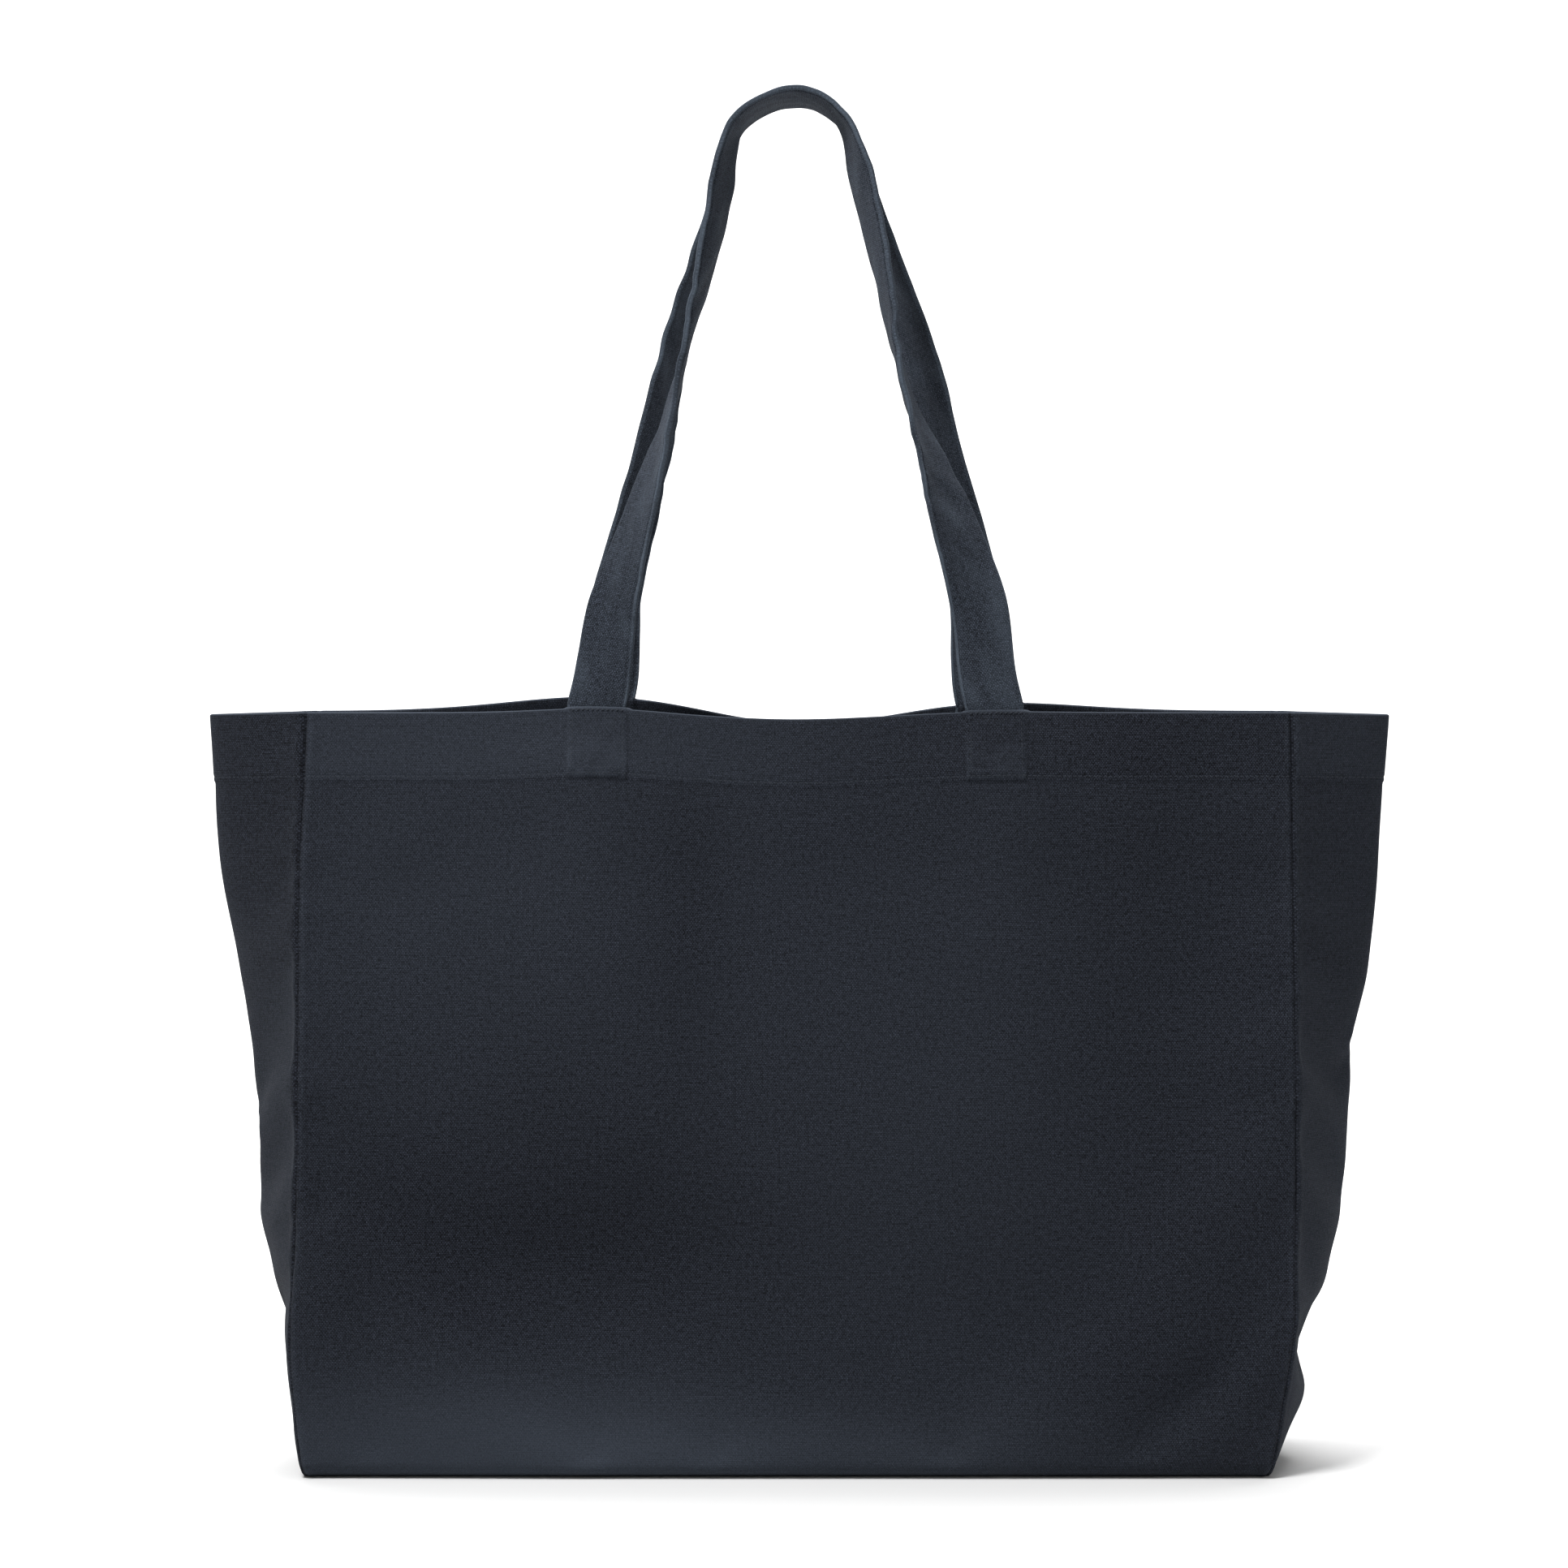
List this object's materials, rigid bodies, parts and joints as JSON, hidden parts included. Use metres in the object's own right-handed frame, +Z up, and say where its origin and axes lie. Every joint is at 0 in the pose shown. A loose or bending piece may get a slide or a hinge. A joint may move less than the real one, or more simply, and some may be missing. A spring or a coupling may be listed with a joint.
{
  "type": "canvas tote bag",
  "caption": "Open-topped boxed canvas tote bag with side gussets, a stitched hem and a pair of twisted strap handles.",
  "frame": {"origin": "middle of the flat base, on the surface that the bag stands on", "axes": "+Z up through the mouth, front panel facing -Y, X across the bag"},
  "size_m": [0.6204, 0.126, 0.7149],
  "materials": {
    "canvas": "plain weave cotton canvas, navy charcoal, matt with a light worn nap",
    "hem_canvas": "the same canvas, doubled, slightly lighter at the folds",
    "strap": "the same canvas folded to four layers and edge stitched",
    "lining": "overcast seam allowance",
    "thread": "tone-on-tone sewing thread"
  },
  "bodies": {
    "bag": {"base_panel": "canvas", "left_gusset": "canvas", "right_gusset": "canvas", "left_gusset_hem": "hem_canvas", "right_gusset_hem": "hem_canvas", "left_gusset_hem_stitch": "thread", "right_gusset_hem_stitch": "thread", "left_base_seam": "lining", "right_base_seam": "lining"},
    "front_wall": {"front_panel": "canvas", "front_hem": "hem_canvas", "front_hem_stitch": "thread", "front_left_seam": "lining", "front_right_seam": "lining", "front_left_tab": "hem_canvas", "front_right_tab": "hem_canvas", "front_left_tab_stitch": "thread", "front_right_tab_stitch": "thread"},
    "back_wall": {"back_panel": "canvas", "back_hem": "hem_canvas", "back_hem_stitch": "thread", "back_left_seam": "lining", "back_right_seam": "lining", "back_left_tab": "hem_canvas", "back_right_tab": "hem_canvas", "back_left_tab_stitch": "thread", "back_right_tab_stitch": "thread"},
    "front_strap": {"front_handle": "strap", "front_handle_stitch": "thread"},
    "back_strap": {"back_handle": "strap", "back_handle_stitch": "thread"}
  },
  "joints": [
    {"name": "front_wall_open", "type": "hinge", "parent": "bag", "child": "front_wall", "pos_m": [0, -0.063, 0], "axis": [1, 0, 0], "range_deg": [0, 3], "deforming": ["left_gusset", "right_gusset", "left_gusset_hem", "right_gusset_hem", "left_gusset_hem_stitch", "right_gusset_hem_stitch"]},
    {"name": "back_wall_open", "type": "hinge", "parent": "bag", "child": "back_wall", "pos_m": [0, 0.063, 0], "axis": [-1, 0, 0], "range_deg": [0, 3]},
    {"name": "front_handle_swing", "type": "hinge", "parent": "front_wall", "child": "front_strap", "pos_m": [0, -0.0335, 0.393], "axis": [1, 0, 0], "range_deg": [0, 160]},
    {"name": "back_handle_swing", "type": "hinge", "parent": "back_wall", "child": "back_strap", "pos_m": [0, 0.0335, 0.393], "axis": [-1, 0, 0], "range_deg": [0, 160]}
  ]
}
